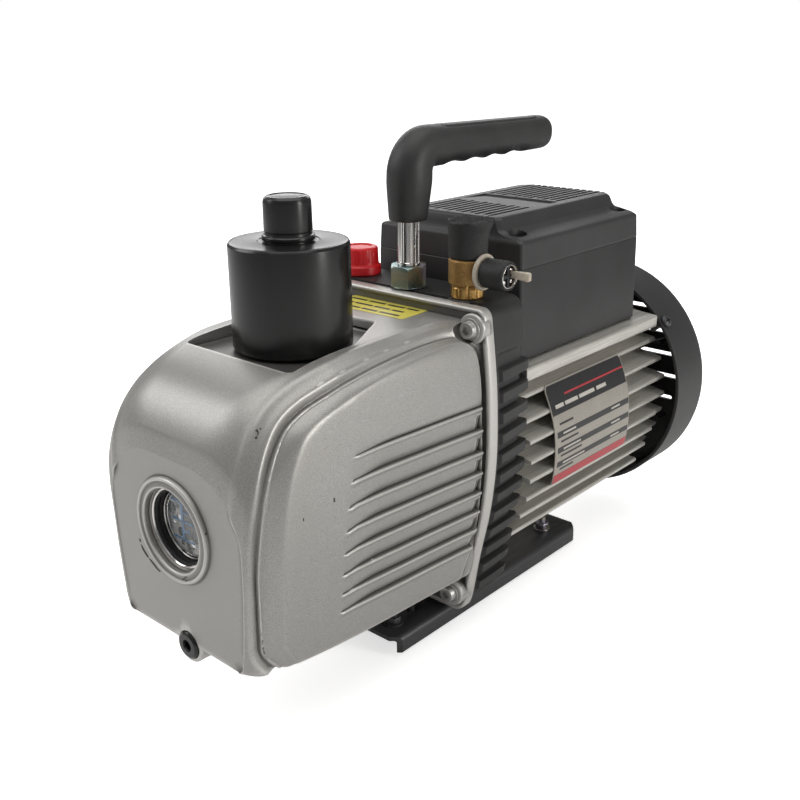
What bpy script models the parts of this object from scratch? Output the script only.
"""Rotary vane vacuum pump with its motor, as separate solids.

Frame: metres, +Z up. The oil tank is at -Y (front), the motor's fan at +Y (rear), and X is
across, with left at -X. The origin is on the ground plane, below the middle of the whole pump.
All the sizes below are in millimetres; places along Y are measured from the tank's front face
and heights from the underside of the steel base, and at() moves them to the row frame.
"""

import math

import bmesh
import bpy
from mathutils import Matrix, Vector

for old in list(bpy.data.objects):
    bpy.data.objects.remove(old, do_unlink=True)

MM = 0.001
GAP = 0.3  # clearance between pieces that touch
SMOOTH_ANGLE = math.radians(32)  # sharper edges than this stay sharp


def both_sides(*rows):
    """Named places in pairs, left and right, from rows of (letter, half spacing, other)."""
    return {
        letter + side: (sign * x, other)
        for letter, x, other in rows
        for side, sign in (("l", -1), ("r", 1))
    }


# ---- driving dimensions shared by several pieces, mm -----------------------
FOOT_PROUD = 3.0  # the rubber feet stand this far below the steel base
GLASS_RING_FRONT = -1.6  # foremost face of the pump
COVER_Y = (351.8, 393.1)  # fan cover; its rear face is the pump's rearmost
MID_Y = (GLASS_RING_FRONT + COVER_Y[1]) / 2

SHAFT_Z = 97.0
SHAFT = (0, SHAFT_Z)  # x, z of the shaft's axis

TANK_FLANGE = (155.0, 162.0)
TANK_SCREWS = both_sides(("t", 57.0, 184.6), ("b", 47.5, 26.5))  # x, z

BODY_FRONT, BODY_BACK = 163.4, 195.0
BODY_TOP = 195.6
ON_BODY = BODY_TOP + GAP  # seat of the fittings that stand on the body

FILTER = (0, 81.1)  # x, y
FILTER_TOP = 234.9
GLASS = (0, 109.4)  # x, z
DRAIN = (3.5, 47.4)  # x, z
HANDLE = (0, 169.0)  # x, y
INTAKE = (40.2, 170.5)  # x, y
OIL_CAP = (-44.0, 176.0)  # x, y

BASE_TOP, BASE_THICK = 10.35, 2.5
FEET = both_sides(("f", 25.0, 141.0), ("r", 25.0, 281.0))  # x, y

# Half width of the tank's flange: (height, half width)
FLANGE_SIDE = (
    (12.3, 51.5), (21.4, 54.7), (50, 59.8), (80.5, 66.1),
    (112, 69.2), (146, 68.6), (168, 66.6), (195.0, 63.0),
)
# Motor fins on each side: (height of the fin's middle, x of its tip)
FIN_TIPS = (
    (46.5, 54.0), (60.0, 60.0), (72.4, 64.0), (84.4, 66.0),
    (96.4, 66.2), (108.4, 65.0), (120.4, 61.6), (133.0, 56.2),
)

# ---- materials: base colour, roughness, metallic ---------------------------
PALETTE = {
    "silver_paint": ((0.47, 0.455, 0.43), 0.42, 0.75),
    "black_paint": ((0.035, 0.035, 0.037), 0.45, 0.1),
    "black_plastic": ((0.032, 0.032, 0.034), 0.38, 0.0),
    "box_plastic": ((0.045, 0.044, 0.045), 0.5, 0.0),
    "rubber": ((0.02, 0.02, 0.021), 0.75, 0.0),
    "fin_aluminium": ((0.55, 0.53, 0.49), 0.38, 0.95),
    "steel": ((0.55, 0.55, 0.56), 0.3, 1.0),
    "zinc": ((0.60, 0.62, 0.60), 0.3, 1.0),
    "brass": ((0.45, 0.29, 0.10), 0.36, 1.0),
    "red_plastic": ((0.55, 0.008, 0.012), 0.35, 0.0),
    "nylon": ((0.60, 0.54, 0.42), 0.5, 0.0),
    "glass": ((0.75, 0.8, 0.8), 0.05, 0.0),
    "copper": ((0.55, 0.20, 0.08), 0.4, 0.9),
    "carbon": ((0.06, 0.06, 0.065), 0.55, 0.1),
    "filter_media": ((0.75, 0.73, 0.66), 0.9, 0.0),
    "plate_label": ((0.42, 0.40, 0.36), 0.4, 0.5),
    "aluminium": ((0.62, 0.62, 0.62), 0.35, 1.0),
    "steel_black": ((0.025, 0.025, 0.026), 0.4, 0.4),
}


def material(name):
    made = bpy.data.materials.get(name)
    if made:
        return made
    colour, roughness, metallic = PALETTE[name]
    made = bpy.data.materials.new(name)
    made.use_nodes = True
    shader = made.node_tree.nodes["Principled BSDF"]
    shader.inputs["Base Color"].default_value = (*colour, 1)
    shader.inputs["Roughness"].default_value = roughness
    shader.inputs["Metallic"].default_value = metallic
    return made


# ---- frame: a section's two coordinates and a distance along an axis -------
def at(x, y, z):
    """A point of the pump in millimetres, as metres in the row frame."""
    return Vector((x * MM, (y - MID_Y) * MM, (z + FOOT_PROUD) * MM))


def along_x(y, z, x):
    return at(x, y, z)


def along_y(x, z, y):
    return at(x, y, z)


def along_z(x, y, z):
    return at(x, y, z)


# ---- outlines --------------------------------------------------------------
def mix(a, b, t):
    return a + (b - a) * t


def curve(table, t):
    """Smooth value through (position, value) pairs, held constant beyond the ends."""
    if t <= table[0][0]:
        return table[0][1]
    if t >= table[-1][0]:
        return table[-1][1]
    k = next(k for k in range(len(table) - 1) if t <= table[k + 1][0])
    (t0, v0), (t1, v1) = table[k], table[k + 1]
    before = table[max(k - 1, 0)]
    after = table[min(k + 2, len(table) - 1)]
    slope0 = (v1 - before[1]) / (t1 - before[0])
    slope1 = (after[1] - v0) / (after[0] - t0)
    span = t1 - t0
    s = (t - t0) / span
    return (
        (2 * s**3 - 3 * s**2 + 1) * v0
        + (s**3 - 2 * s**2 + s) * span * slope0
        + (-2 * s**3 + 3 * s**2) * v1
        + (s**3 - s**2) * span * slope1
    )


def polygon(centre, radius, sides, turn=0.0):
    """Regular polygon; turn is a share of one side's angle."""
    angles = [2 * math.pi * (k + turn) / sides for k in range(sides)]
    return [
        (centre[0] + radius * math.cos(a), centre[1] + radius * math.sin(a)) for a in angles
    ]


def mirror(right):
    """Close a right half outline with its mirror image."""
    return right + [(-x, other) for x, other in reversed(right) if x > 0]


def rounded_outline(half_width, z_low, z_high, r_low, r_high, side=8, arc=3):
    """A closed (x, z) loop: sides from half_width(z), round corners at top and bottom."""
    right = []
    for k in range(arc + 1):
        a = math.pi / 2 * k / arc
        z = z_low + r_low * (1 - math.cos(a))
        right.append((half_width(z) - r_low * (1 - math.sin(a)), z))
    for k in range(1, side):
        z = mix(z_low + r_low, z_high - r_high, k / side)
        right.append((half_width(z), z))
    for k in range(arc + 1):
        a = math.pi / 2 * k / arc
        z = z_high - r_high * (1 - math.sin(a))
        right.append((half_width(z) - r_high * (1 - math.cos(a)), z))
    return mirror(right)


# ---- solids; those named "tool" are used up by a boolean -------------------
def shade(mesh):
    mesh.shade_smooth()
    mesh.set_sharp_from_angle(angle=SMOOTH_ANGLE)


def to_object(name, bm, mat):
    bmesh.ops.remove_doubles(bm, verts=bm.verts, dist=1e-7)
    bmesh.ops.recalc_face_normals(bm, faces=bm.faces)
    mesh = bpy.data.meshes.new(name)
    bm.to_mesh(mesh)
    bm.free()
    mesh.materials.append(material(mat))
    shade(mesh)
    obj = bpy.data.objects.new(name, mesh)
    bpy.context.scene.collection.objects.link(obj)
    return obj


def skin(name, rings, mat="steel"):
    """A capped solid over rings of points that all have the same count."""
    bm = bmesh.new()
    rows = [[bm.verts.new(p) for p in ring] for ring in rings]
    for a, b in zip(rows, rows[1:]):
        n = len(a)
        for i in range(n):
            bm.faces.new((a[i], a[(i + 1) % n], b[(i + 1) % n], b[i]))
    bm.faces.new(rows[0][::-1])
    bm.faces.new(rows[-1])
    return to_object(name, bm, mat)


def prism(name, loop, axis, low, high, mat="steel"):
    """A flat outline extruded along an axis."""
    return skin(name, [[axis(u, v, t) for u, v in loop] for t in (low, high)], mat)


def rod(axis, centre, radius, low, high, steps=24):
    return prism("tool", polygon(centre, radius, steps, turn=0.25), axis, low, high)


def lathe(name, profile, axis, centre, steps, mat="steel"):
    """A solid of revolution over a closed profile of (radius, place along the axis) points.
    Points at radius 0 become poles."""
    bm = bmesh.new()
    spots = {}

    def spot(j, i):
        radius, along = profile[j]
        key = (j, 0 if radius == 0 else i % steps)
        if key not in spots:
            a = 2 * math.pi * i / steps
            u = centre[0] + radius * math.cos(a)
            v = centre[1] + radius * math.sin(a)
            spots[key] = bm.verts.new(axis(u, v, along))
        return spots[key]

    for j in range(len(profile)):
        k = (j + 1) % len(profile)
        if profile[j][0] == 0 and profile[k][0] == 0:
            continue
        for i in range(steps):
            corners = (spot(j, i), spot(j, i + 1), spot(k, i + 1), spot(k, i))
            bm.faces.new(list(dict.fromkeys(corners)))  # a pole counts once
    return to_object(name, bm, mat)


def on_shaft(name, profile, steps, mat="steel"):
    return lathe(name, profile, along_y, SHAFT, steps, mat)


def sweep(name, path, radii, mat, steps):
    """An oval bar along a path in mm; radii holds (across X, along X) pairs."""
    side = Vector((1, 0, 0))
    rings = []
    for i, p in enumerate(path):
        before, after = path[max(i - 1, 0)], path[min(i + 1, len(path) - 1)]
        along = (Vector(after) - Vector(before)).normalized()
        other = along.cross(side).normalized()
        across_x, along_side = radii[i]
        ring = []
        for k in range(steps):
            a = 2 * math.pi * k / steps
            q = (
                Vector(p)
                + side * (along_side * math.cos(a))
                + other * (across_x * math.sin(a))
            )
            ring.append(at(*q))
        rings.append(ring)
    return skin(name, rings, mat)


def box(name, low, high, mat="steel", bevel=0.0, segments=1):
    bm = bmesh.new()
    bmesh.ops.create_cube(bm, size=1)
    lo, hi = at(*low), at(*high)
    for v in bm.verts:
        v.co = Vector([(lo[k] + hi[k]) / 2 + v.co[k] * (hi[k] - lo[k]) for k in range(3)])
    if bevel:
        bmesh.ops.bevel(
            bm,
            geom=list(bm.edges),
            offset=bevel * MM,
            segments=segments,
            profile=0.5,
            affect="EDGES",
        )
    return to_object(name, bm, mat)


def boolean(obj, tools, operation):
    """Apply each tool to obj in turn; the tools don't stay in the model."""
    for tool in tools:
        modifier = obj.modifiers.new("cut", "BOOLEAN")
        modifier.operation = operation
        modifier.solver = "EXACT"
        modifier.object = tool
        graph = bpy.context.evaluated_depsgraph_get()
        mesh = bpy.data.meshes.new_from_object(obj.evaluated_get(graph))
        obj.modifiers.clear()
        obj.data = mesh
        bpy.data.objects.remove(tool, do_unlink=True)
    shade(obj.data)
    return obj


def cut(obj, *tools):
    boolean(obj, tools, "DIFFERENCE")


def add(obj, *tools):
    boolean(obj, tools, "UNION")


def drill(obj, *rod_shape):
    cut(obj, rod(*rod_shape))


def add_boss(obj, *rod_shape):
    add(obj, rod(*rod_shape))


def empty(name, point):
    made = bpy.data.objects.new(name, None)
    made.location = at(*point)
    bpy.context.scene.collection.objects.link(made)
    return made


def hang(part, pivot):
    """Parent a part to an empty, with the part's origin on it."""
    part.data.transform(Matrix.Translation(-pivot.location))
    part.parent = pivot


# ---- oil tank --------------------------------------------------------------
TANK_WALL = 4.5
TANK_TOP = 188.0
FRONT_ROUND = 10.0  # rounding of the front face's edge
TANK_STATIONS = (0, 1.2, 4, 9, 16, 26, 40, 62, 95, 156)
HOLLOW_STATIONS = (8, 14, 24, 40, 62, 95, 156)

# (height, half width) where the tank is widest
TANK_SIDE = (
    (36, 56.0), (46, 58.6), (64, 61.4), (86, 63.6), (107, 64.6),
    (126, 64.4), (146, 63.4), (168, 61.6), (190, 59.0),
)
# (distance behind the front face, height of the top)
CROWN = (
    (0, 146.0), (2.4, 157.0), (12, 171.0), (24, 179.0),
    (42, 184.2), (67, 187.2), (92, TANK_TOP), (170, TANK_TOP),
)
# (distance behind the front face, height of the underside)
KEEL = ((0, 49.0), (8, 46.4), (30, 43.2), (60, 41.0), (100, 38.8), (156, 37.4))


def tank_loop(y, inset=0.0):
    """The tank's section at a distance y behind its front face."""
    taper = mix(0.885, 1.0, min(max((y - 4) / 150, 0), 1))
    ahead = max(FRONT_ROUND - y, 0.0)
    edge = FRONT_ROUND - math.sqrt(max(FRONT_ROUND**2 - ahead**2, 0.0))
    low = curve(KEEL, y) + inset
    high = curve(CROWN, y) - inset
    r_high = mix(34.0, 15.0, min(y / 60, 1))

    def half(z):
        return curve(TANK_SIDE, z) * taper - edge * 0.8 - inset

    return rounded_outline(half, low, high, max(6.0 - inset / 2, 3), r_high)


def tank_ring(y, inset=0.0):
    return [at(x, y, z) for x, z in tank_loop(y, inset)]


def flange_loop(inset=0.0):
    return rounded_outline(
        lambda z: curve(FLANGE_SIDE, z) - inset,
        FLANGE_SIDE[0][0] + inset,
        FLANGE_SIDE[-1][0] - inset,
        r_low=6.0,
        r_high=5.0,
        side=9,
    )


def drill_tank_screws(obj, radius, low, high):
    for place in TANK_SCREWS.values():
        drill(obj, along_y, place, radius, low, high, 20)


def build_oil_tank():
    outside = [tank_ring(y) for y in TANK_STATIONS]
    tank = skin("oil_tank", outside, "silver_paint")
    add(tank, prism("tool", flange_loop(), along_y, *TANK_FLANGE, "silver_paint"))
    # lugs that carry the four flange screws
    for x, z in TANK_SCREWS.values():
        if z > SHAFT_Z:  # spot face beside the rounded shoulder
            drill(tank, along_y, (x, z), 6.4, 60.0, 149.5, 20)
        add_boss(tank, along_y, (x, z), 7.4, 149.5, 158, 16)
    # bosses for the sight glass and the drain
    add_boss(tank, along_y, GLASS, 26.4, GLASS_RING_FRONT, 16, 28)
    add_boss(tank, along_y, DRAIN, 9.4, 0.2, 20, 28)
    # the hollow, open at the back
    rings = [tank_ring(y, TANK_WALL) for y in HOLLOW_STATIONS]
    rings.append([at(x, 170.0, z) for x, z in tank_loop(HOLLOW_STATIONS[-1], TANK_WALL)])
    cut(tank, skin("tool", rings))
    # the boss inside the front, the sight hole with its seat, and the stepped drain hole
    add_boss(tank, along_y, GLASS, 25.0, 6.0, 15.5, 28)
    drill(tank, along_y, GLASS, 20.0, -5, 20, 28)
    drill(tank, along_y, GLASS, 22.6, 9.0, 21, 28)
    drill(tank, along_y, DRAIN, 7.5, -5, 2.7, 28)
    drill(tank, along_y, DRAIN, 5.3, -5, 16, 28)
    # flat-floored well in the crown, where the exhaust filter screws in
    well = box("tool", (-33.5, 46.0, 180.6), (33.5, 126.0, 200), bevel=4.0, segments=2)
    floor = box("tool", (-37.0, 43.0, 172.0), (37.0, 130.0, 186.5), bevel=5.0, segments=2)
    add(tank, boolean(floor, [skin("tool", outside)], "INTERSECT"))
    cut(tank, well)
    add_boss(tank, along_z, FILTER, 17.5, 168, 182.0, 28)
    drill(tank, along_z, FILTER, 12.6, 160, 190, 28)
    drill_tank_screws(tank, 2.9, 140, 170)


def build_tank_gasket():
    faces = (TANK_FLANGE[1] + GAP, BODY_FRONT - GAP)
    gasket = prism("tank_gasket", flange_loop(0.9), along_y, *faces, "rubber")
    cut(gasket, prism("tool", flange_loop(13.0), along_y, 160, 165))
    drill_tank_screws(gasket, 3.0, 155, 170)


def build_tank_screws():
    """Screws with a washer and a hollow head at the front."""
    profile = [
        (0, 173.0), (2.4, 173.0), (2.4, 149.2), (4.9, 149.2), (4.9, 148.2),
        (4.35, 148.2), (4.35, 143.4), (2.3, 143.4), (2.3, 146.2), (0, 146.2),
    ]
    for tag, place in TANK_SCREWS.items():
        lathe("tank_screw_" + tag, profile, along_y, place, 14)


def build_sight_glass():
    bezel = [(17.6, 9.3), (22.2, 9.3), (22.2, 12.2), (17.6, 12.2)]
    lathe("sight_glass_bezel", bezel, along_y, GLASS, 32)
    oring = polygon((20.2, 14.05), 1.5, 6)
    lathe("sight_glass_oring", oring, along_y, GLASS, 24, "rubber")
    lens = [
        (0, 12.8), (16.0, 12.8), (18.2, 13.6), (18.2, 15.9),
        (22.2, 15.9), (22.2, 19.5), (0, 19.5),
    ]
    lathe("sight_glass_lens", lens, along_y, GLASS, 32, "glass")


def build_drain_plug():
    """Plug with a hexagon socket in its front."""
    profile = [
        (0, 12.5), (5.0, 12.5), (5.0, 2.4), (7.2, 2.4), (7.2, -0.4), (6.4, -1.2), (0, -1.2),
    ]
    plug = lathe("drain_plug", profile, along_y, DRAIN, 22, "black_plastic")
    cut(plug, prism("tool", polygon(DRAIN, 2.9, 6), along_y, -8, 2.6))


# ---- exhaust filter --------------------------------------------------------
def build_exhaust_filter():
    top, radius = FILTER_TOP, 30.0
    housing = [
        (12.0, 171.0), (12.0, 182.6), (29.4, 182.6), (radius, 183.6), (radius, top - 1.2),
        (28.9, top), (10.6, top), (10.6, 240.2), (8.6, 240.2), (8.6, top - 2.6),
        (27.4, top - 2.6), (27.4, 185.4), (9.8, 185.4), (9.8, 171.0),
    ]
    lathe("exhaust_filter_housing", housing, along_z, FILTER, 34, "black_plastic")
    element = [(18.0, 186.2), (26.6, 186.2), (26.6, 231.4), (18.0, 231.4)]
    lathe("filter_element", element, along_z, FILTER, 22, "filter_media")


def build_exhaust_outlet_cap():
    seat, radius, top = FILTER_TOP + GAP, 11.85, 256.2
    profile = [
        (10.9, seat), (12.1, seat), (12.1, 239.2), (radius, 239.6), (radius, 255.0),
        (10.6, top), (0, top), (0, 253.4), (8.8, 253.4), (8.8, 240.6), (10.9, 240.6),
    ]
    lathe("exhaust_outlet_cap", profile, along_z, FILTER, 26, "black_plastic")


# ---- pump body -------------------------------------------------------------
BODY_RIBS = 12
RIB_Z = (20.0, 164.0)
RIB_PROUD = 2.4
BODY_R_LOW, BODY_R_HIGH = 5.0, 7.0  # corner radii

# One rib's section: (share of the rib pitch, distance it stands out)
RIB = ((0.10, 0), (0.22, RIB_PROUD), (0.50, RIB_PROUD), (0.62, 0))
# Half width of the body's rear end: (height, half width)
BACK_SIDE = (
    (14, 50.0), (37, 53.6), (58, 57.6), (82, 61.4),
    (107, 63.2), (132, 63.0), (170, 62.8), (196, 61.8),
)


def body_loop(y):
    """The body's section at y, blended from the tank's flange to the rear end."""
    t = (y - BODY_FRONT) / (BODY_BACK - BODY_FRONT)
    pitch = (RIB_Z[1] - RIB_Z[0]) / BODY_RIBS

    def half(z):
        return mix(curve(FLANGE_SIDE, z) - 3.6, curve(BACK_SIDE, z) - 0.6, t)

    right = []
    for k in range(4):
        a = math.pi / 2 * k / 3
        z = 12.6 + BODY_R_LOW * (1 - math.cos(a))
        right.append((half(z) - BODY_R_LOW * (1 - math.sin(a)), z))
    for k in range(BODY_RIBS):
        for share, out in RIB:
            z = RIB_Z[0] + pitch * k + share * pitch
            right.append((half(z) + out, z))
    for k in range(5):
        a = math.pi / 2 * k / 4
        z = BODY_TOP - BODY_R_HIGH * (1 - math.sin(a))
        right.append((half(z) + 0.6 - BODY_R_HIGH * (1 - math.cos(a)), z))
    return mirror(right)


def build_pump_body():
    rings = [[at(x, y, z) for x, z in body_loop(y)] for y in (BODY_FRONT, BODY_BACK)]
    body = skin("pump_body", rings, "black_paint")
    drill(body, along_y, SHAFT, 44.0, 176.0, 200.0, 28)  # coupling room
    drill(body, along_y, SHAFT, 14.3, 160.0, 180.0, 28)  # seal and shaft
    drill(body, along_z, INTAKE, 5.7, 182.0, 200.0)
    drill(body, along_z, OIL_CAP, 8.3, 183.0, 200.0)
    drill(body, along_z, HANDLE, 4.3, 180.0, 200.0)
    drill_tank_screws(body, 2.9, 160, 175)


# ---- base and feet ---------------------------------------------------------
def build_base_plate():
    """Inverted channel with its four corners cut off and a hole for each foot."""
    half_width, round_r = 41.0, 3.0
    front, rear = 110.5, 298.2
    corner_x, corner_y, overshoot = 6.5, 5.5, 1.0
    inside = half_width - BASE_THICK
    right = [(inside, BASE_TOP - BASE_THICK), (inside, 0.0), (half_width, 0.0)]
    for k in range(5):
        a = math.pi / 2 * k / 4
        x = half_width - round_r + round_r * math.cos(a)
        right.append((x, BASE_TOP - round_r + round_r * math.sin(a)))
    base = prism("base_plate", mirror(right), along_y, front, rear, "steel_black")
    for side in (-1, 1):
        for y, inward in ((front, 1), (rear, -1)):
            triangle = [
                (side * (half_width + overshoot), y - inward * overshoot),
                (side * (half_width + overshoot), y + inward * corner_y),
                (side * (half_width - corner_x), y - inward * overshoot),
            ]
            cut(base, prism("tool", triangle, along_z, -5, 20))
    for place in FEET.values():
        drill(base, along_z, place, 3.0, -2, 20, 20)


def build_feet():
    """Rubber feet, each with a stud up through the base."""
    shoulder = BASE_TOP - BASE_THICK - GAP
    profile = [
        (0, -FOOT_PROUD), (8.2, -FOOT_PROUD), (9.0, -FOOT_PROUD + 1.2),
        (9.0, shoulder), (2.5, shoulder), (2.5, 16.4), (0, 16.4),
    ]
    for tag, place in FEET.items():
        lathe("rubber_foot_" + tag, profile, along_z, place, 16, "rubber")


# ---- motor -----------------------------------------------------------------
MOTOR_Y = (195.4, 358.0)
MOTOR_CORE_R, MOTOR_BORE_R = 50.0, 43.0
FIN_THICK = 2.6
FOOT_WEB_X = 16.0  # fins below the core start no closer to the middle than this


def motor_outline():
    """Right half of the extruded housing: foot, horizontal fins and the box's pad."""
    right = [(0, 10.9), (15.0, 10.9), (15.0, 16.0), (11.0, 20.0), (11.0, 47.5)]
    for z, tip in FIN_TIPS:
        low, high = z - FIN_THICK / 2, z + FIN_THICK / 2
        core = math.sqrt(max(MOTOR_CORE_R**2 - (z - SHAFT_Z) ** 2, 0.0))
        root = max(core, FOOT_WEB_X)
        right += [
            (root, low - 0.4), (tip - 0.8, low + 0.5), (tip, low + 0.9),
            (tip, high - 0.4), (tip - 0.8, high), (root, high + 0.4),
        ]
    right += [
        (47.0, 143.0), (60.0, 145.0), (61.0, 146.0), (61.0, 150.6),
        (60.0, 151.6), (44.0, 153.2), (0, 153.2),
    ]
    return right


def build_motor_housing():
    outline = mirror(motor_outline())
    motor = prism("motor_housing", outline, along_y, *MOTOR_Y, "fin_aluminium")
    drill(motor, along_y, SHAFT, MOTOR_BORE_R, MOTOR_Y[0] - 2, MOTOR_Y[1] + 2, 32)
    # the foot's rear part is cut away
    cut(motor, box("tool", (-30.0, 286.0, 0.0), (30.0, 400.0, 43.0)))
    # the rear end is turned down to go inside the fan cover
    ring = [(66.8, 348.5), (99.0, 348.5), (99.0, 366.0), (66.8, 366.0)]
    cut(motor, on_shaft("tool", ring, 32))


def build_stator():
    outer = MOTOR_BORE_R - GAP
    core = [(29.2, 232.0), (outer, 232.0), (outer, 312.0), (29.2, 312.0)]
    on_shaft("stator_core", core, 24)
    # both end turns, joined by a sleeve that stands for the conductors in the slots
    windings = [
        (27.7, 216.0), (31.0, 214.0), (38.0, 214.0), (40.5, 217.0), (40.5, 229.0),
        (38.0, 231.6), (28.9, 231.6), (28.9, 312.4), (38.0, 312.4), (40.5, 315.0),
        (40.5, 327.0), (38.0, 330.0), (31.0, 330.0), (27.7, 328.0),
    ]
    on_shaft("stator_windings", windings, 22, "copper")


def build_motor_rotor():
    """The rotor's core with the motor shaft through it."""
    profile = [
        (0, 188.6), (6.0, 188.6), (7.0, 189.6), (7.0, 218.0), (9.0, 218.0),
        (9.0, 228.0), (27.0, 228.0), (27.0, 316.0), (9.0, 316.0), (9.0, 330.0),
        (7.0, 330.0), (7.0, 384.0), (0, 384.0),
    ]
    on_shaft("motor_rotor", profile, 22)


def build_bearings():
    bore, outer = 7.3, 17.5
    for name, low, high in (("front_bearing", 199.0, 209.0), ("rear_bearing", 338.0, 348.0)):
        on_shaft(name, [(bore, low), (outer, low), (outer, high), (bore, high)], 24)


def build_shields():
    """Discs that close the housing and hold the bearings in their hubs."""
    bore, seat, hub, rim = 7.6, 17.8, 20.6, 42.6
    front = [
        (bore, 195.9), (rim, 195.9), (rim, 199.6), (hub, 199.6),
        (hub, 209.2), (seat, 209.2), (seat, 198.7), (bore, 198.7),
    ]
    on_shaft("front_shield", front, 24, "aluminium")
    rear = [
        (bore, 351.6), (40.0, 351.6), (rim, 350.6), (rim, 347.0), (hub, 347.0),
        (hub, 337.8), (seat, 337.8), (seat, 348.3), (bore, 348.3),
    ]
    on_shaft("rear_shield", rear, 26, "aluminium")


def build_rating_plate():
    """Thin plate bent over the tips of the right-hand fins."""
    heights = [mix(73.0, 135.0, k / 8) for k in range(9)]
    thick, off_fins = 0.6, 0.6
    inner = [(curve(FIN_TIPS, z) + off_fins, z) for z in heights]
    outer = [(x + thick, z) for x, z in reversed(inner)]
    prism("rating_plate", inner + outer, along_y, 226.0, 308.0, "plate_label")


# ---- cooling fan -----------------------------------------------------------
def build_cooling_fan():
    blades = 7
    inner, outer, half_thick = 15.5, 63.0, 1.1
    profile = [
        (7.3, 362.0), (17.0, 362.0), (17.0, 364.5), (64.0, 364.5),
        (64.0, 366.5), (17.0, 366.5), (17.0, 380.0), (7.3, 380.0),
    ]
    fan = on_shaft("cooling_fan", profile, 28, "black_plastic")
    blade = (
        (inner, -half_thick), (outer, -half_thick), (outer, half_thick), (inner, half_thick),
    )
    for k in range(blades):
        a = 2 * math.pi * (k + 0.5) / blades
        c, s = math.cos(a), math.sin(a)
        loop = [(u * c - v * s, SHAFT_Z + u * s + v * c) for u, v in blade]
        add(fan, prism("tool", loop, along_y, 365.5, 379.0, "black_plastic"))


# ---- fan cover -------------------------------------------------------------
COVER_R = 79.6
COVER_WALL = 2.0
SLOTS, SLOT_PITCH, SLOT_HALF = 7, 16.0, 3.2
SLOT_FIELD_R = 67.0  # the slots end on this circle
COVER_SCREW_Y = COVER_Y[0] + 5.5
COVER_SCREWS = {"right": 38.0, "left": 142.0, "bottom": 270.0}  # degrees up from +X


def build_fan_cover():
    front, rear = COVER_Y
    inside = COVER_R - COVER_WALL
    profile = [
        (inside, front), (COVER_R, front), (COVER_R, rear - 5.0), (COVER_R - 5.0, rear),
        (0, rear), (0, rear - COVER_WALL), (COVER_R - 6.0, rear - COVER_WALL),
        (inside, rear - 6.0),
    ]
    cover = on_shaft("fan_cover", profile, 40, "black_plastic")
    for k in range(SLOTS):
        z = SHAFT_Z + (k - (SLOTS - 1) / 2) * SLOT_PITCH
        reach = math.sqrt(SLOT_FIELD_R**2 - (z - SHAFT_Z) ** 2)
        low, high = z - SLOT_HALF, z + SLOT_HALF
        loop = [(-reach, low), (reach, low), (reach, high), (-reach, high)]
        cut(cover, prism("tool", loop, along_y, rear - 4, rear + 4))
    return cover


def build_cover_screws(cover):
    """Screws that point at the shaft, and their holes in the cover."""
    under_head = COVER_R + GAP
    hole = [(0, 70), (2.2, 70), (2.2, 90), (0, 90)]
    screw = [
        (0, 68.0), (1.8, 68.0), (1.8, under_head), (4.0, under_head),
        (3.6, COVER_R + 1.5), (2.2, COVER_R + 2.3), (0, COVER_R + 2.5),
    ]
    for tag, degrees in COVER_SCREWS.items():
        turn = Matrix.Rotation(-math.radians(degrees), 4, "Y")
        frame = Matrix.Translation(at(0, COVER_SCREW_Y, SHAFT_Z)) @ turn

        def outward(u, v, distance):
            return frame @ Vector((distance * MM, u * MM, v * MM))

        cut(cover, lathe("tool", hole, outward, (0, 0), 12))
        lathe("cover_screw_" + tag, screw, outward, (0, 0), 12)


# ---- terminal box ----------------------------------------------------------
BOX_FRONT, BOX_REAR = 202.0, 333.0
BOX_X = 52.0  # half width
BOX_LOW, BOX_HIGH = 153.6, 206.0
LID_SHOULDER, LID_TOP = 221.0, 232.0
LID_SCREWS = both_sides(("f", 43.5, BOX_FRONT + 9.0), ("r", 43.5, BOX_REAR - 14.0))  # x, y
LID_BOSS_R, LID_SCREW_HOLE_R = 4.6, 1.9
VENTS, VENT_PITCH, VENT_HALF = 5, 9.4, 1.5
VENT_ROWS = ((BOX_FRONT + 8.0, BOX_FRONT + 46.0), (BOX_FRONT + 76.0, BOX_REAR - 18.0))


def box_skin(name, stations, mat="steel"):
    """Solid with cut corners seen from above. Each station is (height, half width,
    inset from the box's front, inset from its rear, front corner cut, rear corner cut)."""
    rings = []
    for z, x, inset_front, inset_rear, front_cut, rear_cut in stations:
        front, rear = BOX_FRONT + inset_front, BOX_REAR - inset_rear
        plan = [
            (-x, front + front_cut), (-x + front_cut, front),
            (x - front_cut, front), (x, front + front_cut),
            (x, rear - rear_cut), (x - rear_cut, rear),
            (-x + rear_cut, rear), (-x, rear - rear_cut),
        ]
        rings.append([at(*point, z) for point in plan])
    return skin(name, rings, mat)


def build_terminal_box():
    shell = (
        (BOX_LOW, BOX_X + 0.6, 0, -1.5, 2.5, 7.0),
        (BOX_HIGH, BOX_X, 0, 0, 2.5, 7.0),
    )
    hollow = (
        (BOX_LOW + 2.5, BOX_X - 2.4, 2.4, 1.4, 2.0, 6.0),
        (BOX_HIGH + 5, BOX_X - 2.4, 2.4, 2.4, 2.0, 6.0),
    )
    tbox = box_skin("terminal_box", shell, "box_plastic")
    cut(tbox, box_skin("tool", hollow))
    for place in LID_SCREWS.values():
        add_boss(tbox, along_z, place, LID_BOSS_R, BOX_LOW + 1, BOX_HIGH, 20)
        drill(tbox, along_z, place, LID_SCREW_HOLE_R, BOX_HIGH - 16, BOX_HIGH + 4, 16)
    # openings in the rear wall
    cut(tbox, rear_block(SWITCH, 7.4, 10.2, -12, 12))
    cut(tbox, rear_block(INLET, 13.9, 10.2, -12, 12))


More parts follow.
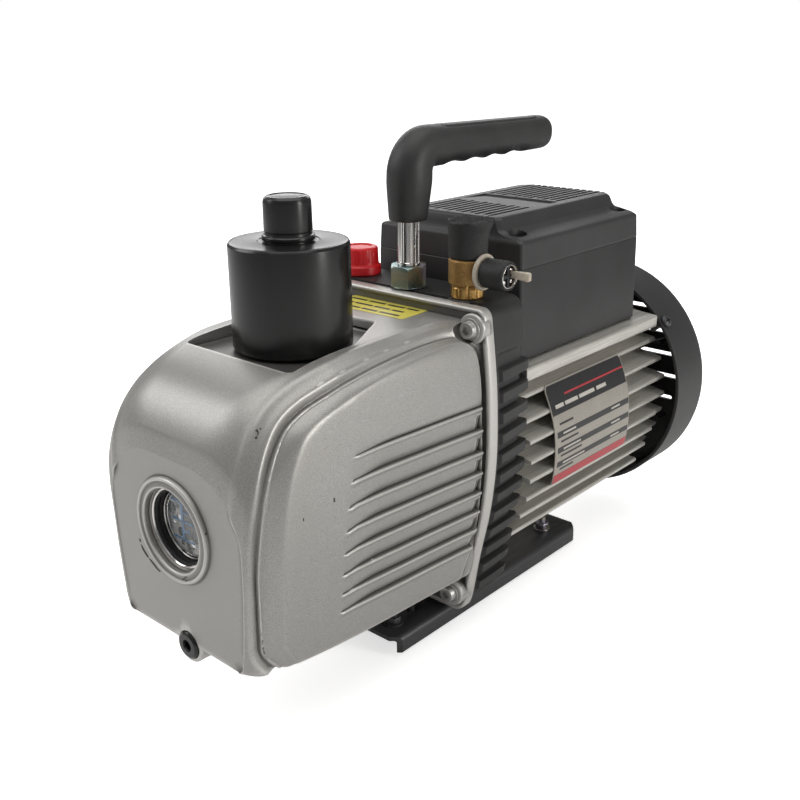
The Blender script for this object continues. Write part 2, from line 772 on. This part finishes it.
def build_lid():
    """Lid with a raised, vented crown along its middle."""
    shell = (
        (BOX_HIGH + GAP, BOX_X - 0.2, 0, 0, 2.5, 7.0),
        (LID_SHOULDER - 1.0, BOX_X - 1.0, 0.3, 1.0, 2.5, 7.0),
        (LID_SHOULDER, BOX_X - 2.0, 1.2, 2.0, 2.5, 7.0),
    )
    crown = (
        (LID_SHOULDER - 6, 35.5, 1.5, 2.4, 2.0, 8.0),
        (LID_SHOULDER + 4, 33.5, 1.8, 2.8, 2.0, 8.0),
        (LID_TOP, 28.5, 3.0, 5.0, 2.0, 7.0),
    )
    hollow = (
        (BOX_HIGH - 5, BOX_X - 2.8, 2.8, 3.2, 2.0, 6.0),
        (LID_SHOULDER - 2.6, BOX_X - 3.8, 3.2, 4.0, 2.0, 6.0),
    )
    crown_hollow = (
        (LID_SHOULDER - 5, 32.4, 4.2, 5.4, 2.0, 7.0),
        (LID_TOP - 2.4, 26.5, 5.6, 8.0, 2.0, 6.0),
    )
    lid = box_skin("terminal_box_lid", shell, "box_plastic")
    add(lid, box_skin("tool", crown))
    cut(lid, box_skin("tool", hollow), box_skin("tool", crown_hollow))
    for front, rear in VENT_ROWS:
        for k in range(VENTS):
            x = (k - (VENTS - 1) / 2) * VENT_PITCH
            low = (x - VENT_HALF, front, LID_TOP - 5)
            cut(lid, box("tool", low, (x + VENT_HALF, rear, LID_TOP + 3)))
    above = LID_SHOULDER + 4
    for place in LID_SCREWS.values():
        add_boss(lid, along_z, place, LID_BOSS_R, BOX_HIGH + GAP, LID_SHOULDER - 1.2, 20)
        drill(lid, along_z, place, 3.3, LID_SHOULDER - 4.5, above, 20)
        drill(lid, along_z, place, LID_SCREW_HOLE_R, BOX_HIGH - 5, above, 16)


def build_lid_screws():
    low, under_head = BOX_HIGH - 14, LID_SHOULDER - 4.2
    profile = [
        (0, low), (1.6, low), (1.6, under_head), (3.0, under_head),
        (2.8, LID_SHOULDER - 2.6), (0, LID_SHOULDER - 2.0),
    ]
    for tag, place in LID_SCREWS.items():
        lathe("lid_screw_" + tag, profile, along_z, place, 12)


def build_run_capacitor():
    profile = [
        (0, 214.0), (17.0, 214.0), (18.0, 215.0), (18.0, 281.0), (17.0, 282.0), (0, 282.0),
    ]
    lathe("run_capacitor", profile, along_y, (-22.0, 179.0), 22, "black_plastic")


# ---- switch and mains inlet on the rear of the box -------------------------
SWITCH = (22.0, 192.0)  # x, z
INLET = (-20.0, 192.0)  # x, z
INLET_PINS = ((-7.0, -1.6), (0.0, 2.2), (7.0, -1.6))  # x, z from the inlet's middle
ROCKER_OUT = 0.2  # the rocker's pivot from the box's rear wall
ROCKER_TILT = math.radians(11.0)
ROCKER_HALF_X = 5.5


def rear_block(centre, half_x, half_z, low, high, bevel=0.0):
    """Block around an x, z centre; low and high are measured from the box's rear wall."""
    x, z = centre
    return box(
        "tool",
        (x - half_x, BOX_REAR + low, z - half_z),
        (x + half_x, BOX_REAR + high, z + half_z),
        bevel=bevel,
    )


def build_power_entry():
    """Face plate with two sockets behind it; three pins stand in the inlet's."""
    low = (INLET[0] - 17.0, BOX_REAR + 2.1, INLET[1] - 13.0)
    high = (SWITCH[0] + 10.0, BOX_REAR + 4.6, INLET[1] + 13.0)
    module = box("power_entry_module", low, high, "black_plastic", bevel=0.8)
    add(module, rear_block(SWITCH, 7.1, 9.9, -14, 3.5))
    add(module, rear_block(INLET, 13.6, 9.9, -16, 4.0))
    cut(module, rear_block(SWITCH, 5.9, 9.0, -8.0, 8))
    cut(module, rear_block(INLET, 12.2, 8.2, -12.5, 8, bevel=2.0))
    for x, z in INLET_PINS:
        add(module, rear_block((INLET[0] + x, INLET[1] + z), 1.0, 2.0, -14, 2.0))


def build_power_rocker():
    """The rocker turns about a pin along X; at rest its top edge is pressed in (off)."""
    x, z = SWITCH
    y = BOX_REAR + ROCKER_OUT
    # (distance rearwards, height) from the pin, before tilting
    section = (
        (-3.4, -8.2), (4.4, -8.2), (4.9, -7.4), (3.2, 0.0),
        (4.9, 7.4), (4.4, 8.2), (-3.4, 8.2),
    )
    c, s = math.cos(ROCKER_TILT), math.sin(ROCKER_TILT)
    loop = [(y + v * c - w * s, z + v * s + w * c) for v, w in section]
    sides = (x - ROCKER_HALF_X, x + ROCKER_HALF_X)
    rocker = prism("power_rocker", loop, along_x, *sides, "red_plastic")
    hang(rocker, empty("rocker_axis", (x, y, z)))


# ---- handle ----------------------------------------------------------------
HEX_ACROSS_FLATS = 19.0
STEM_R = 6.0
GRIP_Y = 170.0  # middle of the grip's upright part
GRIP_Z = 270.3  # middle of the grip's bar
GRIP_BEND = 14.0
GRIP_BAR_END = 290.5  # where the rounded end starts


def build_handle_stem():
    """Hexagon nut with a round stem through it."""
    hexagon = polygon(HANDLE, HEX_ACROSS_FLATS / math.sqrt(3), 6, turn=0.2)
    stem = prism("handle_stem", hexagon, along_z, ON_BODY, 207.6, "zinc")
    profile = [
        (0, 182.0), (4.0, 182.0), (4.0, 200.0), (STEM_R, 203.0), (STEM_R, 246.0), (0, 246.0),
    ]
    add(stem, lathe("tool", profile, along_z, HANDLE, 24))


def grip_path():
    """Middle line of the L-shaped grip, with its (across X, along X) radii."""
    points, radii = [], []
    for z, r in ((232.4, 11.2), (233.6, 12.2), (240.0, 12.4)):
        points.append((0, GRIP_Y, z))
        radii.append((r, r * 0.92))
    for k in range(6):
        a = math.pi / 2 * k / 5
        y = GRIP_Y + GRIP_BEND * (1 - math.cos(a))
        points.append((0, y, GRIP_Z - GRIP_BEND * (1 - math.sin(a))))
        radii.append((mix(12.4, 9.4, k / 5), mix(11.4, 10.4, k / 5)))
    # four waves along the bar that die out towards its end
    for k in range(1, 13):
        t = k / 12
        wave = 0.25 * math.sin(2 * math.pi * 4.0 * t) * (1 - t)
        points.append((0, mix(GRIP_Y + GRIP_BEND, GRIP_BAR_END, t), GRIP_Z + wave))
        radii.append((mix(9.3, 8.8, t) - wave, mix(10.4, 9.8, t)))
    # rounded end, stopped short of a point
    for k in range(1, 5):
        a = math.pi / 2 * k / 4.6
        shrink = math.cos(a) ** 0.7
        points.append((0, GRIP_BAR_END + 7.0 * math.sin(a), GRIP_Z))
        radii.append((8.8 * shrink, 9.8 * shrink))
    return points, radii


def build_handle_grip():
    grip = sweep("handle_grip", *grip_path(), "rubber", 14)
    drill(grip, along_z, HANDLE, STEM_R + GAP, 225.0, 247.0)


# ---- intake fitting --------------------------------------------------------
SIDE_PORT = (INTAKE[1], 210.5)  # y, z; the port points to +X


def build_intake_fitting():
    radius = 9.25
    profile = [
        (0, 184.0), (5.4, 184.0), (5.4, ON_BODY), (8.4, ON_BODY), (8.4, 202.0), (7.8, 202.4),
        (radius, 203.4), (radius, 216.8), (7.4, 217.0), (7.4, 224.0), (0, 224.0),
    ]
    fitting = lathe("intake_fitting", profile, along_z, INTAKE, 22, "brass")
    add_boss(fitting, along_x, SIDE_PORT, 4.6, INTAKE[0] + 2.0, INTAKE[0] + 22.0)
    drill(fitting, along_z, INTAKE, 4.2, 180.0, 230.0, 20)


def build_intake_caps():
    """Cap on the upright port, cap on the side port and the tether's ring."""
    top_cap = [
        (7.8, 217.4), (9.5, 217.4), (9.5, 224.0), (9.9, 234.0), (10.3, 236.0),
        (9.2, 236.4), (8.4, 234.6), (0, 234.0), (0, 224.6), (7.8, 224.6),
    ]
    lathe("intake_cap", top_cap, along_z, INTAKE, 22, "rubber")
    # (radius, distance to the right of the intake's axis)
    side_cap = [
        (5.0, 12.4), (7.3, 12.4), (7.3, 26.8), (6.6, 27.4), (5.2, 27.4),
        (5.2, 25.4), (0, 25.4), (0, 22.4), (5.0, 22.4),
    ]
    ring = [(4.9, 9.9), (9.9, 9.9), (9.9, 12.0), (4.9, 12.0)]
    for name, shape, steps, mat in (
        ("side_port_cap", side_cap, 20, "rubber"),
        ("cap_tether_ring", ring, 22, "nylon"),
    ):
        profile = [(radius, INTAKE[0] + out) for radius, out in shape]
        lathe(name, profile, along_x, SIDE_PORT, steps, mat)


def build_oil_fill_cap():
    profile = [
        (0, 184.5), (7.9, 184.5), (7.9, ON_BODY), (14.2, ON_BODY), (14.2, 200.0),
        (13.0, 201.6), (12.0, 202.4), (12.0, 212.6), (11.2, 213.6), (0, 213.6),
    ]
    lathe("oil_fill_cap", profile, along_z, OIL_CAP, 24, "red_plastic")


# ---- pumping stage inside the tank -----------------------------------------
CYL_R, CYL_OUT_R = 27.0, 40.0
CYL_FRONT, CYL_BACK = 120.0, BODY_FRONT - GAP
ROTOR_R = 23.0
ROTOR_FRONT, ROTOR_BACK = CYL_FRONT + 0.1, CYL_BACK - 0.1
ROTOR_LIFT = CYL_R - ROTOR_R - GAP  # the rotor runs close to the top of the bore
CYL_CENTRE = (0, SHAFT_Z - ROTOR_LIFT)
VANE_HALF = 2.0  # half thickness
VANE_IN, VANE_OUT = 8.6, 22.7
SLOT_FLOOR = 4.4  # the rotor's slots start this far from its axis
PORT_Y = 141.0  # middle of the discharge port and its valve
PORT = (15.0, PORT_Y)  # x, y
PORT_R = 2.6
REED_Z = CYL_CENTRE[1] + CYL_OUT_R + 1.0
REED_ROOT = -3.2


def build_pump_cylinder():
    profile = [
        (CYL_R, CYL_FRONT), (CYL_OUT_R, CYL_FRONT), (CYL_OUT_R, CYL_BACK), (CYL_R, CYL_BACK),
    ]
    cylinder = lathe("pump_cylinder", profile, along_y, CYL_CENTRE, 32)
    drill(cylinder, along_z, PORT, PORT_R, 110.0, 150.0, 16)
    # flat pad on top for the valve, with the port carried on through it
    pad = box("tool", (-14.0, 133.0, REED_Z - 14.0), (26.0, 149.0, REED_Z - 0.2), bevel=0.4)
    drill(pad, along_y, CYL_CENTRE, CYL_OUT_R - 1.0, 110, 160, 28)
    add(cylinder, pad)
    drill(cylinder, along_z, PORT, PORT_R, 100.0, 150.0, 16)


def build_stage_end_plate():
    back = CYL_FRONT - GAP
    front = back - 6.0
    profile = [(0, front), (CYL_OUT_R, front), (CYL_OUT_R, back), (0, back)]
    lathe("stage_end_plate", profile, along_y, CYL_CENTRE, 32)


def build_pump_rotor():
    """Rotor with its shaft, slotted on both sides for the vanes."""
    profile = [
        (0, ROTOR_FRONT), (ROTOR_R, ROTOR_FRONT), (ROTOR_R, ROTOR_BACK),
        (8.0, ROTOR_BACK), (8.0, 183.4), (0, 183.4),
    ]
    rotor = on_shaft("pump_rotor", profile, 32)
    low, high = SHAFT_Z - VANE_HALF - 0.05, SHAFT_Z + VANE_HALF + 0.05
    for x0, x1 in ((SLOT_FLOOR, 30), (-30, -SLOT_FLOOR)):
        cut(rotor, box("tool", (x0, CYL_FRONT - 2, low), (x1, ROTOR_BACK, high)))


def build_vanes():
    """Two vanes, each with a coil spring behind it."""
    turns, pieces = 3, 21
    coil_r, wire_r = 1.2, 0.18
    spring_in, spring_out = 4.9, 6.7
    for tag, side in (("a", 1), ("b", -1)):
        x0, x1 = sorted((side * VANE_IN, side * VANE_OUT))
        low = (x0, CYL_FRONT + 0.3, SHAFT_Z - VANE_HALF)
        high = (x1, CYL_BACK - 0.5, SHAFT_Z + VANE_HALF)
        box("vane_" + tag, low, high, "carbon", bevel=0.4)
        wire = []
        for k in range(pieces + 1):
            t = k / pieces
            a = 2 * math.pi * turns * t
            x = side * mix(spring_in, spring_out, t)
            wire.append((x, PORT_Y + coil_r * math.cos(a), SHAFT_Z + coil_r * math.sin(a)))
        sweep("vane_spring_" + tag, wire, [(wire_r, wire_r)] * len(wire), "steel", 5)


def build_shaft_seal():
    profile = [
        (8.3, 166.0), (9.2, 165.0), (13.9, 165.0), (13.9, 173.0),
        (12.8, 173.0), (12.8, 167.0), (9.2, 167.0),
    ]
    on_shaft("shaft_seal", profile, 22, "rubber")


def build_shaft_coupling():
    profile = [
        (8.2, 177.0), (15.0, 177.0), (19.0, 180.0), (19.0, 193.5),
        (7.2, 193.5), (7.2, 184.0), (8.2, 184.0),
    ]
    on_shaft("shaft_coupling", profile, 22, "aluminium")


def build_discharge_valve():
    """Reed over the port on top of the cylinder, clamped at its left end, and its stop."""
    front, rear = PORT_Y - 4.5, PORT_Y + 4.5
    low = (REED_ROOT - 0.4, front, REED_Z + 0.1)
    reed = box("discharge_reed", low, (20.0, rear, REED_Z + 0.4))
    hang(reed, empty("reed_axis", (REED_ROOT, PORT_Y, REED_Z + 0.25)))
    low = (-13.0, PORT_Y - 5.0, REED_Z + 0.7)
    stop = box("valve_stop", low, (-3.0, PORT_Y + 5.0, REED_Z + 2.4), bevel=0.3)
    # strip that rises to the right over the reed: (x, z)
    ramp = [
        (-4.0, REED_Z + 0.9), (23.0, REED_Z + 4.2), (23.0, REED_Z + 5.8), (-4.0, REED_Z + 2.2),
    ]
    add(stop, prism("tool", ramp, along_y, front, rear))


# ---- the turning group hangs on one empty that lies on the shaft's axis ----
TURNING = (
    "pump_rotor", "vane_a", "vane_b", "vane_spring_a", "vane_spring_b",
    "shaft_coupling", "motor_rotor", "cooling_fan",
)


def hang_turning_group():
    shaft_axis = empty("shaft_axis", (0, MID_Y, SHAFT_Z))
    for name in TURNING:
        hang(bpy.data.objects[name], shaft_axis)


build_oil_tank()
build_tank_gasket()
build_tank_screws()
build_sight_glass()
build_drain_plug()
build_exhaust_filter()
build_exhaust_outlet_cap()
build_pump_body()
build_base_plate()
build_feet()
build_motor_housing()
build_stator()
build_motor_rotor()
build_bearings()
build_shields()
build_rating_plate()
build_cooling_fan()
build_cover_screws(build_fan_cover())
build_terminal_box()
build_lid()
build_lid_screws()
build_run_capacitor()
build_power_entry()
build_power_rocker()
build_handle_stem()
build_handle_grip()
build_intake_fitting()
build_intake_caps()
build_oil_fill_cap()
build_pump_cylinder()
build_stage_end_plate()
build_pump_rotor()
build_vanes()
build_shaft_seal()
build_shaft_coupling()
build_discharge_valve()
hang_turning_group()
